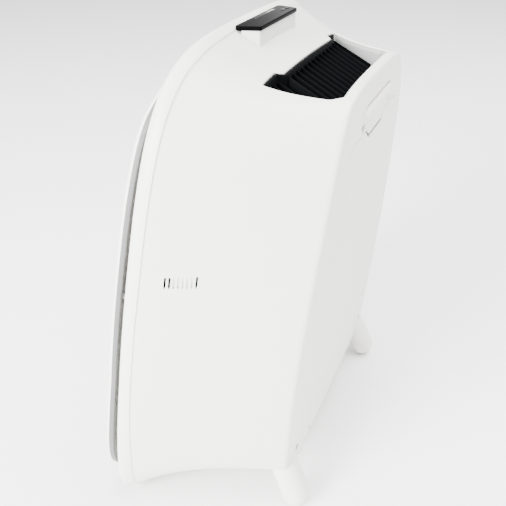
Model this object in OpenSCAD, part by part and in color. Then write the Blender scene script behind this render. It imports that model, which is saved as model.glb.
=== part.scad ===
// Floor-standing compressor dehumidifier, wide leaning body on two peg legs.
// Millimetres. +Z up, front faces -Y, rear faces +Y, X is the width.
// Origin: centre of the bounding box at floor level.

/* [Body] */
// Lean of the front parts from vertical, degrees
lean = 7.4; // [5:0.1:10]
// Y of the joint plane between front shell and housing at floor level
seam_y = -82; // [-90:1:-70]
// Rearmost Y of the housing corner line
rear_y = 108; // [100:1:118]
// Wall thickness of the moulded shells
wall = 3; // [2.4:0.1:4]
// Depth of the front shell ahead of the joint plane
front_d = 17; // [12:1:24]
// Clear air gap between front shell and front cover
inlet_gap = 3.5; // [3:0.5:8]

/* [Outlet] */
// Front edge of the outlet opening
out_y0 = 31; // [26:1:36]
// Rear edge of the outlet opening
out_y1 = 98; // [92:1:102]
// Half width of the opening at its front
out_h0 = 107; // [100:1:112]
// Half width of the opening at its rear
out_h1 = 93; // [88:1:100]
// Fin spacing in the outlet
fin_pitch = 11.4; // [8:0.2:14]

/* [Tank] */
// Half width of the tank face
tank_h = 89; // [80:1:92]
// Top of the tank face
tank_top = 411; // [405:1:412]
// Height of the water bucket rim
bucket_top = 176; // [165:1:178]

/* [Legs] */
// Peg leg radius
leg_r = 16; // [11:0.5:17]
// Peg leg tip position across
leg_x = 144.7; // [135:0.1:150]
// Peg leg tip position in depth
leg_y = 90.9; // [85:0.1:96]

/* [Controls] */
// Top of the glossy control slab
slab_z = 500; // [498:1:502]
// Button stroke
key_stroke = 0.8; // [0.5:0.1:1.2]

/* [Fan] */
// Fan wheel radius
fan_r = 66; // [55:1:70]
// Fan centre across
fan_x = 20; // [0:1:30]
// Fan centre up the leaning frame
fan_v = 318; // [300:1:330]
// Front face of the fan scroll behind the joint plane
fan_y = 56; // [50:1:60]

/* [Output] */
// Which node to draw

/* [Hidden] */
$fn = 48;

white = [0.93,0.93,0.91];
ivory = [0.95,0.95,0.93];
black = [0.07,0.07,0.08];
metal = [0.72,0.73,0.75];
copper = [0.72,0.45,0.25];
alu = [0.80,0.82,0.84];
grey = [0.45,0.46,0.47];
rubber = [0.12,0.12,0.12];

// Outline of the joint plane, half width and height up the leaning plane
SA = [[0,2],[150,2],[190,6],[212,27],[222,76],[227,151],[224,232],[215,313],[203,388],[186,442],[160,476],[125,492],[80,499],[0,503]];
// Outline of the rear corner line, half width and height
SB = [[0,45],[95,45],[138,47],[157,62.5],[163,104],[166,172],[161,245],[150,312],[135,379],[120,422],[101,449],[78,457],[45,460],[0,460.5]];
// Front edge outline of the front shell, and the smaller outline of the front cover
SF = [[0,2],[150,1.6],[192,3],[216.5,22],[226,74],[228,151],[224,232],[215,313],[203,388],[186.5,443],[161.5,479],[126.5,496.5],[82,503],[0,504.5]];
SC = [[0,20],[148,20],[186,24],[209,43],[221,80],[222.5,151],[218.5,232],[209,313],[194.5,388],[173.5,438],[138,464],[98,476],[60,480],[0,482]];

function cr(a,b,c,d,t) = 0.5*((2*b)+(c-a)*t+(2*a-5*b+4*c-d)*t*t+(3*b-a-3*c+d)*t*t*t);
function mx(p) = [-p[0],p[1]];
function half(P,k) = let(n=len(P)) [for(i=[0:n-2]) for(j=[0:k-1])
  cr(i==0?mx(P[1]):P[i-1], P[i], P[i+1], i==n-2?mx(P[n-2]):P[i+2], j/k), P[n-1]];
function full(P,k) = let(h=half(P,k), n=len(h)) concat(h,[for(i=[n-2:-1:1]) mx(h[i])]);
K = 2;
OA = full(SA,K);
OB = full(SB,K);
OF = full(SF,K);
OC = full(SC,K);
N = len(OA);
WA = 227; VA = 252; HA = 250.5;
function ins(P,d) = [for(p=P) [p[0]*(1-d/WA), VA+(p[1]-VA)*(1-d/HA)]];
// leaning plane to world
function lw(x,y,v) = [x, seam_y+y*cos(lean)+v*sin(lean), -y*sin(lean)+v*cos(lean)];
function lring(d,y) = [for(p=ins(OA,d)) lw(p[0],y,p[1])];
function yrear(x,z) = let(t=max(0,430-z)) rear_y-0.077*t*t/(t+60);
function yface(x,z) = yrear(x,z)+2*(1-pow(min(1,abs(x)/165),2.4));
function gz(s,v) = 1-pow(1-s,v<250 ? 3.4 : 2.7);
// depth of a front ring, a little deeper towards the floor
function fy(y,v) = y*(1+0.22*max(0,1-v/180));
function lringo(O,d,y) = [for(p=ins(O,d)) lw(p[0],fy(y,p[1]),p[1])];
function gx(s) = pow(s,1.12);
// housing ring at depth fraction s, offset inward by d
function hring(s,d) = [for(i=[0:N-1]) let(a=lw(OA[i][0],0,OA[i][1]), b=OB[i],
   x=a[0]+(b[0]-a[0])*gx(s), z=a[2]+(b[1]-a[2])*gz(s,OA[i][1]), y=a[1]+(yrear(b[0],b[1])-2-a[1])*s,
   m=200, c=250) [x*(1-d/m), y-(s>=0.99?d:0), c+(z-c)*(1-d/228)]];
// rear face ring, fraction f of the corner outline
function fring(f,g,dy,d) = [for(p=OB) let(x=p[0]*f,z=250+(p[1]-250)*g) [x*(1-d/180), yface(x,z)+dy-d, 250+(z-250)*(1-d/200)]];

// closed solid from rings, fan caps on both ends
module loft(R,c0,c1){
  m=len(R); n=len(R[0]);
  pts = concat([for(r=R) for(p=r) p],[c0,c1]);
  polyhedron(points=pts, faces=concat(
    [for(i=[0:m-2]) for(j=[0:n-1]) each [[i*n+j,i*n+(j+1)%n,(i+1)*n+(j+1)%n],[i*n+j,(i+1)*n+(j+1)%n,(i+1)*n+j]]],
    [for(j=[0:n-1]) [m*n,(j+1)%n,j]],
    [for(j=[0:n-1]) [m*n+1,(m-1)*n+j,(m-1)*n+(j+1)%n]]), convexity=8);
}
// closed frame from rings, last ring joins the first
module hoop(R){
  m=len(R); n=len(R[0]);
  polyhedron(points=[for(r=R) for(p=r) p], faces=
    [for(i=[0:m-1]) for(j=[0:n-1]) let(k=(i+1)%m) each [[i*n+j,i*n+(j+1)%n,k*n+(j+1)%n],[i*n+j,k*n+(j+1)%n,k*n+j]]], convexity=8);
}
// curved plate between two x, z limits following the rear face
module rear_plate(x1,za,zb,t,nx,nz){
  P=[for(s=[0,1]) for(i=[0:nz]) for(j=[0:nx]) let(x=-x1+2*x1*j/nx,z=za+(zb-za)*i/nz) [x,yface(x,z)-s*t,z]];
  m=nx+1; o=(nz+1)*m;
  polyhedron(points=P, faces=concat(
   [for(i=[0:nz-1]) for(j=[0:nx-1]) let(a=i*m+j) each [[a,a+1,a+m+1],[a,a+m+1,a+m]]],
   [for(i=[0:nz-1]) for(j=[0:nx-1]) let(a=o+i*m+j) each [[a,a+m+1,a+1],[a,a+m,a+m+1]]],
   [for(j=[0:nx-1]) each [[j,o+j,o+j+1],[j,o+j+1,j+1]]],
   [for(j=[0:nx-1]) let(a=nz*m+j) each [[a,a+1,o+a+1],[a,o+a+1,o+a]]],
   [for(i=[0:nz-1]) let(a=i*m) each [[a,a+m,o+a+m],[a,o+a+m,o+a]]],
   [for(i=[0:nz-1]) let(a=i*m+nx) each [[a,o+a,o+a+m],[a,o+a+m,a+m]]]), convexity=4);
}
module lf(){ translate([0,seam_y,0]) rotate([-lean,0,0]) children(); }
module cyly(r,l){ rotate([-90,0,0]) cylinder(r=r,h=l); }
module cylx(r,l){ rotate([0,90,0]) cylinder(r=r,h=l); }
module slotx(w,h,l){ // rounded slot, width along X, height along Z, cut along +Y
  translate([-w/2+h/2,0,0]) cyly(h/2,l); translate([w/2-h/2,0,0]) cyly(h/2,l);
  translate([-w/2+h/2,0,-h/2]) cube([w-h,l,h]); }
module tube(r,t,h){ difference(){ cylinder(r=r,h=h); translate([0,0,-1]) cylinder(r=r-t,h=h+2); } }

// ---- peg leg axis
leg_dx=-5; leg_dy=-19; leg_dz=42; leg_len=sqrt(leg_dx*leg_dx+leg_dy*leg_dy+leg_dz*leg_dz);
module at_leg(side){ // local z up the leg from the tip centre
  mirror([side<0?1:0,0,0]) translate([leg_x,leg_y,leg_r]) rotate([0,0,atan2(leg_dy,leg_dx)]) rotate([0,acos(leg_dz/leg_len),0]) children(); }

module tank_cut(e){ // opening outline for the tank face, e = edge clearance
  translate([0,130,0]) rotate([90,0,0]) linear_extrude(height=62)
    polygon([[-tank_h-e,62-e],[-tank_h-e+8,54-e],[tank_h+e-8,54-e],[tank_h+e,62-e],[tank_h+e,tank_top-8+e],[tank_h+e-8,tank_top+e],
      [39-e,tank_top+e],[26,tank_top-10.2+4*e],[-26,tank_top-10.2+4*e],[-39+1.6*e,tank_top+e],[-tank_h-e+8,tank_top+e],[-tank_h-e,tank_top-8+e]]);
}
function rev(L) = [for(i=[len(L)-1:-1:0]) L[i]];
OUT_S = [0,0.05,0.12,0.22,0.36,0.54,0.74,0.92];
IN_S = [0,0.12,0.3,0.54,0.8,0.94];
module housing_shell(){
  outer = concat([lring(0,0.15)],[for(s=OUT_S) if(s>0) hring(s,0)], [fring(1,1,-2.6,0), fring(0.965,0.975,-0.6,0), fring(0.90,0.93,0,0), fring(0.6,0.62,0,0), fring(0.25,0.27,0,0)]);
  inner = concat([lring(wall,0.15)],[for(s=IN_S) if(s>0) hring(s,wall)], [fring(0.93,0.95,-1,wall), fring(0.6,0.62,0,wall), fring(0.25,0.27,0,wall)]);
  loft(concat(rev(outer),inner),[0,yface(0,250),250],[0,yface(0,250)-wall,250]);
}
// side surface point for the sensor slots: X on the housing side near mid height
module side_slots(){ // eight slots in the near side wall: three go through, five are shallow
  for(i=[0:7]) let(d=(i<2||i==7)?24:5.8) translate([200.4-i*1.57,-23.5+i*3.74,309.3+i*0.1]) rotate([0,0,-66.5]) rotate([0,-8.4,0]) rotate([-4,0,0])
    { translate([-0.95,-12+(24-d),-5]) cube([1.9,d,10]); translate([0,-12+(24-d),5]) cyly(0.95,d); translate([0,-12+(24-d),-5]) cyly(0.95,d); }
}
module housing_full(){ difference(){
  housing_shell();
  // outlet opening with the tongue at its front
  translate([0,0,425]) linear_extrude(height=70) polygon([[-out_h0,out_y0],[-78,out_y0],[-72,out_y0+6.5],[72,out_y0+6.5],[78,out_y0],[out_h0,out_y0],
    [out_h1+1.5,out_y1-10],[out_h1-8,out_y1],[-out_h1+8,out_y1],[-out_h1-1.5,out_y1-10]]);
  tank_cut(0.9);
  // seat of the control pod
  translate([0,0,440]) pod_shape(440,520,-14,1.1);
  translate([0,0,slab_z-4.3]) linear_extrude(height=9) slab_outline(-0.3);
  // opening for the carry handle
  translate([0,120,0]) rotate([90,0,0]) linear_extrude(height=24) handle_hole(0);
  side_slots();
  for(m=[-1,1]) at_leg(m) cylinder(r=leg_r+0.3,h=77);
  // drain port and power inlet in the rear face
  translate([-124,60,150]) cyly(9.6,60);
  translate([-124,60,118]) cyly(9,60);
  for(x=[-scr_x,scr_x]) translate([x,60,scr_z]) { cyly(2.3,60); translate([0,23.7,0]) cyly(4.2,20); }
} }
scr_x = 131; scr_z = 72;
split_z = 404; base_z = 84;
module housing_top(){ color(white) intersection(){ housing_full(); translate([-300,-200,split_z]) cube([600,400,200]); } }
module housing_right(){ color(white) intersection(){ housing_full(); translate([0,-200,base_z]) cube([300,400,split_z-base_z]); } }
module housing_left(){ color(white) intersection(){ housing_full(); translate([-300,-200,base_z]) cube([300,400,split_z-base_z]); } }
module housing_base(){ color(white) intersection(){ housing_full(); translate([-300,-200,-10]) cube([600,400,base_z+10]); } }
module handle_hole(g){ // opening that follows the bail in its rest position
  for(m=[0,1]) mirror([m,0]) {
    hull(){ translate([52,421]) circle(r=6.2+g); translate([49.6,428]) circle(r=6.2+g); }
    hull(){ translate([49.6,428]) circle(r=6.2+g); translate([42,431]) circle(r=6.2+g); } }
  hull() for(m=[-1,1]) translate([42*m,431]) circle(r=6.2+g);
  translate([-46,421-g]) square([92,10+g]);
}
module front_shell(){ color(ivory) difference(){
  hoop([lring(wall,0),lring(0,0),lringo(OF,0,-7),lringo(OF,1.2,-11),lringo(OF,3.8,-14.8),lringo(OF,9,-front_d),lringo(OF,FI,-front_d),lringo(OF,FI,-front_d+2.6),lringo(OF,6.6,-front_d+2.6),lringo(OF,3.2,-9)]);
  for(p=stud_pts) lf() translate([p[0],fy(-front_d,p[1])-3,p[1]]) cyly(3.3,9);
  translate([0,0,slab_z-4.3]) linear_extrude(height=9) slab_outline(-0.3);
} }
FI = 46;
stud_pts = [[206,283,-24.8],[-206,283,-24.8],[196,110,-27],[-196,110,-27],[136,436,-27],[-136,436,-27],[120,38,-26],[-120,38,-26]];
HT = [for(p=half(SF,2)) [p[1],p[0]]];
function hw(v) = lookup(v,[for(p=HT) if(p[0]>=3 && p[0]<=494) p]);
module intake_grille(){ color(grey) lf(){
  for(i=[0:25]) let(v=62+i*15) translate([-(hw(VA+(v-VA)/(1-50/HA))*(1-50/WA)-3),-front_d+0.6,v-1.2]) cube([2*(hw(VA+(v-VA)/(1-50/HA))*(1-50/WA)-3),3,2.4]);
  difference(){
    translate([0,-front_d+4.2,0]) rotate([90,0,0]) linear_extrude(height=4) polygon(ins(OF,FI+0.6));
    translate([0,-front_d+5,0]) rotate([90,0,0]) linear_extrude(height=6) polygon(ins(OF,FI+6));
  }
  for(x=[-100,0,100]) translate([x-1.5,-front_d+0.6,52]) cube([3,3.4,390]);
} }
module front_cover(){ color(ivory) loft([lringo(OC,200,-35.2),lringo(OC,110,-34.5),lringo(OC,30,-33),lringo(OC,12,-31.8),lringo(OC,5,-30.4),lringo(OC,1.4,-28.2),lringo(OC,0,-25.5),lringo(OC,0,-front_d-inlet_gap),
    lringo(OC,2.2,-front_d-inlet_gap),lringo(OC,2.4,-24.5),lringo(OC,5,-27),lringo(OC,12,-28.8),lringo(OC,30,-30.2),lringo(OC,110,-31.7),lringo(OC,200,-32.4)],lw(0,-35.3,VA),lw(0,-32.5,VA)); }
module cover_studs(){ color(grey) for(p=stud_pts) lf() { translate([p[0],fy(p[2],p[1]),p[1]]) cyly(p[2]>-25?3.5:4.5,fy(-front_d,p[1])-fy(p[2],p[1])-0.15); translate([p[0],fy(p[2],p[1])+1,p[1]]) cyly(3,fy(-front_d,p[1])-fy(p[2],p[1])+3.2); } }
module air_filter(){ color(grey) lf(){
  difference(){
    translate([0,-20.6,0]) rotate([90,0,0]) linear_extrude(height=5.4) polygon(ins(OA,52));
    translate([0,-19,0]) rotate([90,0,0]) linear_extrude(height=8) polygon(ins(OA,60));
  }
  translate([0,-22.4,0]) rotate([90,0,0]) linear_extrude(height=1.2) polygon(ins(OA,58));
  for(x=[-80,80]) translate([x-2,-26,58]) cube([4,5,388]);
  for(v=[150,250,350]) translate([-156,-26,v-2]) cube([312,5,4]);
  for(x=[-140,140]) for(v=[120,370]) translate([x,-30.3,v]) cyly(3,8.3);
} }
// ---- controls
module pod_shape(h0,h1,f,g){ // wedge box under the slab, f = front, g = inset
  linear_extrude(height=h1-h0) polygon([[-56+g,f+g],[56-g,f+g],[49.5-g,6-g],[-49.5+g,6-g]]);
}
module control_pod(){ color(white) difference(){
  union(){
    translate([0,0,474]) pod_shape(474,slab_z-4.1,-14,1.4);
  }
  translate([0,0,462]) pod_shape(462,slab_z-7,-14,4);
  translate([8,-3,slab_z-12]) cylinder(r=3,h=20);
  for(x=key_xs) translate([x,key_yy(x),slab_z-12]) oval(9.8,6.4,20);
} }
module slab_outline(g){ polygon([[-55.5+g,-17.4+g],[-51.5+g,-18.5+g],[51.5-g,-18.5+g],[55.5-g,-17.4+g],[57.5-g,-14.5+g],[50.5-g,3.6-g],[47.5-g,6-g],[-47.5+g,6-g],[-50.5+g,3.6-g],[-57.5+g,-14.5+g]]); }
key_xs = [-45,-34.5];
function key_yy(x) = -4.1-(x+45)*0.05;
module control_slab(){ color(black) difference(){
  union(){ translate([0,0,slab_z-4]) linear_extrude(height=3.2) slab_outline(0);
    translate([0,0,slab_z-0.8]) linear_extrude(height=0.8) slab_outline(0.8); }
  translate([-33,-15.4,slab_z-1.2]) cube([50,4.2,3]);
  for(x=key_xs) translate([x,key_yy(x),slab_z-8]) oval(8.6,5,12);
} }
module oval(w,d,h){ r=d/2; translate([-w/2+r,0,0]) cylinder(r=r,h=h); translate([w/2-r,0,0]) cylinder(r=r,h=h); translate([-w/2+r,-r,0]) cube([w-2*r,d,h]); }
module display_window(){ color([0.02,0.03,0.05]) translate([-32.8,-15.2,slab_z-1.2]) cube([49.6,3.8,1.1]); }
module key(x){ translate([x,key_yy(x),slab_z-4.6]) { oval(8,4.4,4.9); translate([0,0,-1]) oval(9,5.8,1.2); } }
module key_power(){ color([0.15,0.15,0.16]) key(-45); }
module key_mode(){ color([0.15,0.15,0.16]) key(-34.5); }
module control_board(){ color([0.1,0.35,0.18]) difference(){ translate([-47,-9.4,slab_z-13]) cube([91,8.2,1.6]); for(x=[-22,36]) translate([x,-5,slab_z-14]) cylinder(r=1.3,h=4); } }
// ---- outlet
module out_poly(g){ polygon([[-out_h0+g,out_y0+g],[-78,out_y0+g],[-72,out_y0+6.5+g],[72,out_y0+6.5+g],[78,out_y0+g],[out_h0-g,out_y0+g],
    [out_h1+1.5-g,out_y1-10],[out_h1-8-g*0.4,out_y1-g],[-out_h1+8+g*0.4,out_y1-g],[-out_h1-1.5+g,out_y1-10]]); }
module outlet_duct(){ color([0.62,0.64,0.62]) difference(){
  translate([0,0,418]) linear_extrude(height=33.5) out_poly(0.5);
  translate([0,0,420]) linear_extrude(height=50) out_poly(2.7);
  translate([-59+fan_x,41,410]) cube([118,28,20]);
} }
module outlet_fins(){ color(black) union(){
    for(i=[-8:8]) let(x=i*fin_pitch, e=abs(x)>90?78:94.2, y0=abs(x)>75?32:38.6, t0=abs(x)>75?462.5:465, t1=abs(x)>75?462.5-(e-32)*0.5:465-(e-38)*0.54)
      translate([x-0.8,0,0]) rotate([90,0,90]) linear_extrude(height=1.6) polygon([[y0+2.2,420.6],[e,420.6],[e,t1],[y0,t0],[y0,452.5],[y0+2.2,452.5]]);
    translate([-96,46,423]) cube([192,3,4]); translate([-86.4,80,423]) cube([172.8,3,4]);
} }
// ---- refrigeration
coil_x0 = -72; coil_x1 = 168;
module evaporator(){ color(alu) lf(){
  translate([coil_x0+8,-9,222]) cube([coil_x1-coil_x0-16,20,198]);
  for(x=[coil_x0+4,coil_x1-6]) translate([x,-10,218]) cube([2,22,206]);
  for(i=[0:3]) let(v=240+i*46) { translate([coil_x1-4,1,v]) rotate([0,0,0]) ubend(11,3.6);
    translate([coil_x0+4,1,v+23]) mirror([1,0,0]) ubend(11,3.6); }
} }
module ubend(R,r){ rotate([0,0,0]) difference(){ rotate([90,0,0]) rotate_extrude() translate([R,0]) circle(r=r); translate([-R*2,-R,-R*2]) cube([R*2,R*2,R*4]); } }
module condenser(){ color(alu) lf(){
  translate([coil_x0+8,16,222]) cube([coil_x1-coil_x0-16,24,198]);
  for(x=[coil_x0+4,coil_x1-6]) translate([x,15,218]) cube([2,26,206]);
  for(i=[0:3]) let(v=240+i*46) { translate([coil_x1-4,28,v]) ubend(11,3.6);
    translate([coil_x0+4,28,v+23]) mirror([1,0,0]) ubend(11,3.6); }
} }
cmp_x=-136; cmp_y=-12; cmp_r=41;
module compressor(){ color([0.1,0.1,0.11]) translate([cmp_x,cmp_y,0]){
  translate([0,0,66]) cylinder(r=cmp_r-1.5,h=128); translate([0,0,76]) cylinder(r=cmp_r,h=106);
  translate([0,0,194]) cylinder(r1=cmp_r-1.5,r2=24,h=9);
  translate([0,0,203]) cylinder(r=4,h=14);
  for(a=[90,210,330]) rotate([0,0,a]) difference(){ translate([20,-9,62]) cube([32,18,4]); translate([45,0,60]) cylinder(r=5.2,h=8); }
  translate([0,0,62]) cylinder(r=30,h=4);
} }
module compressor_mounts(){ color(rubber) translate([cmp_x,cmp_y,0]) for(a=[90,210,330]) rotate([0,0,a]) translate([45,0,0]) difference(){
  union(){ translate([0,0,52]) cylinder(r=8,h=9.8); translate([0,0,61.8]) cylinder(r=5,h=4.6); translate([0,0,66.4]) cylinder(r=5.45,h=3.6); }
  translate([0,0,51]) cylinder(r=3.1,h=20); } }
module compressor_terminal_cover(){ color(black) translate([cmp_x+8,cmp_y,203.4]) difference(){ translate([-2,-14,0]) cube([26,28,12]); translate([0,-12,-1]) cube([22,24,11]); } }
module refrigerant_pipes(){ color(copper) {
  translate([cmp_x,cmp_y,217]) cylinder(r=3,h=40);
  translate([cmp_x,cmp_y,257]) sphere(r=3);
  translate([cmp_x,cmp_y,257]) cylx(3,40);
  translate([cmp_x+40,cmp_y,257]) sphere(r=3);
  translate([cmp_x+44,cmp_y+26,120]) cylinder(r=2.6,h=100);
  translate([cmp_x+44,cmp_y+26,220]) sphere(r=2.6);
  translate([cmp_x+44,cmp_y+26,120]) sphere(r=2.6);
  translate([cmp_x+38,cmp_y+26,120]) cylx(2.6,6);
} }
module filter_drier(){ color(copper) translate([cmp_x+57,cmp_y+4,120]) { cylinder(r=8,h=60); translate([0,0,60]) cylinder(r1=8,r2=3,h=8); translate([0,0,68]) cylinder(r=3,h=12); translate([0,0,-8]) cylinder(r1=3,r2=8,h=8); translate([0,0,-20]) cylinder(r=3,h=12); } }
// ---- fan
module fanf(){ lf() translate([fan_x,0,fan_v]) children(); }
module fan_scroll(){ color([0.25,0.26,0.27]) fanf() difference(){
  union(){ translate([0,fan_y,0]) cyly(fan_r+16,44); translate([-fan_r+4,fan_y,0]) cube([2*fan_r-8,44,108]); }
  translate([0,fan_y+2.4,0]) cyly(fan_r+13,39.2);
  translate([-fan_r+6.4,fan_y+2.4,0]) cube([2*fan_r-12.8,39.2,120]);
  translate([0,fan_y-6,0]) cyly(fan_r-12,12);
  translate([0,fan_y+34,0]) cyly(4.4,20);
  for(a=[45,135,225,315]) rotate([0,a,0]) translate([22,fan_y+34,0]) cyly(2.2,20);
} }
module fan_wheel(){ color([0.18,0.19,0.2]) fanf() difference(){
  union(){
    translate([0,fan_y+34,0]) cyly(fan_r-1,2.4);
    translate([0,fan_y+14,0]) cyly(11,22);
    translate([0,fan_y+5,0]) rotate([-90,0,0]) tube(fan_r,3,2.4);
    for(a=[0:12:359]) rotate([0,a,0]) translate([fan_r-12,fan_y+5,0]) rotate([0,28,0]) cube([10,29.6,1.4]);
  }
  translate([0,fan_y+4,0]) cyly(3.04,40);
} }
module fan_motor(){ color([0.55,0.56,0.58]) fanf() { translate([0,fan_y+44.1,0]) cyly(31,14); translate([0,fan_y+16,0]) cyly(3,29); translate([0,fan_y+38.6,0]) cyly(4.2,6); } }
// ---- water path
module drip_tray(){ color([0.85,0.86,0.84]) difference(){
  union(){
    lf() difference(){ translate([coil_x0-2,-12.4,196]) cube([coil_x1-coil_x0+4,58.4,20]); translate([coil_x0,-10.4,199]) cube([coil_x1-coil_x0,54.4,20]); }
    difference(){ translate([38,-34,183]) cube([16,96,8]); translate([40,-32,185]) cube([12,92,20]); }
  }
  lf() translate([46,32,190]) cylinder(r=4,h=14);
  translate([46,54,180]) cylinder(r=4,h=10);
  lf() translate([38,-10.4,199]) cube([16,54.4,20]);
} }
module base_plate(){ color(metal) difference(){
  translate([0,0,48]) linear_extrude(height=3) polygon([[-176,-52],[176,-52],[144,30],[106,40],[106,64.5],[-106,64.5],[-106,40],[-144,30]]);
  for(p=[[-160,-40],[160,-40],[-100,60],[100,60]]) translate([p[0],p[1],40]) cylinder(r=2.6,h=20);
  translate([cmp_x,cmp_y,0]) for(a=[90,210,330]) rotate([0,0,a]) translate([45,0,40]) cylinder(r=3.1,h=20);
} }
module tank_rails(){ color(grey) for(x=[-64,52]) difference(){ translate([x,8,51]) cube([12,66,6.8]); translate([x+6,30,40]) cylinder(r=1.6,h=30); } }
module water_tank(){ color([0.86,0.88,0.89]) union(){
  intersection(){ rear_plate(tank_h+4,50,tank_top+4,2.8,8,16); tank_cut(0); }
  difference(){ translate([-86,24,58]) cube([172,57.5,bucket_top-58]); translate([-83.6,26.4,60.4]) cube([167.2,52.7,bucket_top]); }
  for(x=[-84,-20,18,82]) translate([x,0,0]) rotate([90,0,90]) linear_extrude(height=2) polygon([[81,62],[84.2,62],[92.2,170],[81,170]]);
  for(x=[-56,-37]) difference(){ translate([x,69,150]) cube([3,10.4,13]); translate([x-1,75,158.5]) cylx(2.26,5); }
} }
module tank_lid(){ color([0.75,0.77,0.78]) difference(){
  union(){ translate([-86,24,bucket_top+0.1]) cube([172,57.5,2.2]); translate([-83.3,26.7,bucket_top-4]) cube([166.6,52,4.2]); }
  translate([-81,29,bucket_top-6]) cube([162,47.5,6.1]);
  translate([46,54,bucket_top-8]) cylinder(r=11,h=16);
} }
module tank_float(){ color([0.9,0.55,0.2]) { translate([-60,31,146]) cube([30,30,13]); translate([-46,60.9,156.5]) cube([2,13,4]); translate([-57,75,158.5]) cylx(2.2,24); } }
// ---- handle
hy = 103.1; hz = 421;
module handle_pocket(){ color([0.86,0.87,0.85]) difference(){
  translate([0,105.6,0]) rotate([90,0,0]) linear_extrude(height=7.9) handle_hole(2.6);
  translate([0,125,0]) rotate([90,0,0]) linear_extrude(height=26.1) handle_hole(0.3);
  translate([-80,105.2,400]) cube([160,5,18.6]);
  for(m=[0,1]) mirror([m,0,0]) translate([50,hy,hz]) cylx(2.26,15);
} }
module carry_handle(){ color(ivory) {
  translate([-42,110.5,431]) cylx(5,84);
  for(m=[0,1]) mirror([m,0,0]) {
    hull(){ translate([42,110.5,431]) sphere(r=5,$fn=32); translate([49.5,108.8,428.4]) sphere(r=4.6,$fn=32); }
    hull(){ translate([49.5,108.8,428.4]) sphere(r=4.6,$fn=32); translate([52,105.5,424.5]) sphere(r=4.3,$fn=32); }
    hull(){ translate([52,105.5,424.5]) sphere(r=4.3,$fn=32); translate([52,103.2,421]) sphere(r=4.1,$fn=32); }
    translate([52,hy,hz]) cylx(2.2,8.4);
  } } }
// ---- ports
module drain_port(){ color(grey) difference(){ union(){ translate([-124,54,150]) cyly(8,33.6); translate([-124,78,150]) cyly(12.6,8); } translate([-124,50,150]) cyly(6,60); } }
module drain_cap(){ color(white) { translate([-124,78,150]) cyly(5.94,9.8); translate([-124,87.7,150]) cyly(9,3.4); } }
module power_inlet(){ color(black) difference(){ union(){ translate([-124,58,118]) cyly(8.6,30.6); translate([-124,76,118]) cyly(12,8); } translate([-124,50,118]) cyly(4,60); } }
module main_board(){ color([0.1,0.35,0.18]) { translate([120,20,224]) cube([1.6,52,150]); translate([108,30,300]) cube([12,22,30]); translate([106,34,250]) cube([14,20,26]); } }
module run_capacitor(){ color([0.85,0.85,0.86]) translate([-104,52,236]) { cylinder(r=14,h=60); translate([-3,-2,60]) cube([2,4,7]); translate([3,-2,60]) cube([2,4,7]); } }
module humidity_sensor(){ color([0.1,0.35,0.18]) translate([181.4,-9,296]) rotate([0,0,-23]) { translate([0,-20,0]) cube([1.6,40,24]); color(white) translate([1.6,-8,6]) cube([3,12,12]); } }
// ---- feet and fixings
module leg(m){ color(ivory) difference(){ at_leg(m){ sphere(r=leg_r); cylinder(r=leg_r,h=74); } at_leg(m) translate([0,0,60]) cylinder(r=2.1,h=20); translate([m*leg_x-25,leg_y-25,-1]) cube([50,50,2.2]); } }
module leg_left(){ leg(-1); }
module leg_right(){ leg(1); }
module leg_pads(){ color(rubber) for(m=[-1,1]) translate([m*leg_x,leg_y,0]) cylinder(r=5.8,h=1.2); }
module leg_brackets(){ color(grey) for(m=[-1,1]) intersection(){ at_leg(m) difference(){ translate([0,0,62]) cylinder(r=leg_r+1.2,h=16); translate([0,0,40]) cylinder(r=leg_r+0.05,h=34.1); translate([0,0,60]) cylinder(r=2.2,h=30); }
  translate([-152,0,0]) cube([304,300,200]); } }
module leg_screws(){ color(metal) for(m=[-1,1]) at_leg(m) { translate([0,0,62]) cylinder(r=2,h=18); translate([0,0,78.1]) cylinder(r=4.2,h=3); } }
module front_pads(){ color(rubber) for(m=[-1,1]) intersection(){ lf() translate([m*118-30,-9,-10]) cube([60,8,11.2]); translate([-500,-500,0]) cube([1000,1000,50]); } }
module housing_screws(){ color(metal) for(x=[-scr_x,scr_x]) translate([x,0,scr_z]) { translate([0,82.6,0]) cyly(2,1.3); translate([0,83.8,0]) cyly(3.8,1.2); } }
housing_top();
housing_left();
housing_right();
housing_base();
front_shell();
intake_grille();
front_cover();
cover_studs();
air_filter();
control_pod();
control_slab();
display_window();
key_power();
key_mode();
control_board();
outlet_duct();
outlet_fins();
evaporator();
condenser();
refrigerant_pipes();
filter_drier();
compressor();
compressor_mounts();
compressor_terminal_cover();
fan_scroll();
fan_wheel();
fan_motor();
drip_tray();
base_plate();
tank_rails();
water_tank();
tank_lid();
tank_float();
handle_pocket();
carry_handle();
drain_port();
drain_cap();
power_inlet();
main_board();
run_capacitor();
humidity_sensor();
leg_left();
leg_right();
leg_brackets();
leg_pads();
front_pads();
housing_screws();
leg_screws();
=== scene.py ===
import math
import bmesh
import bpy
from mathutils import Matrix, Vector
from mathutils.bvhtree import BVHTree
from mathutils.interpolate import poly_3d_calc


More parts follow.
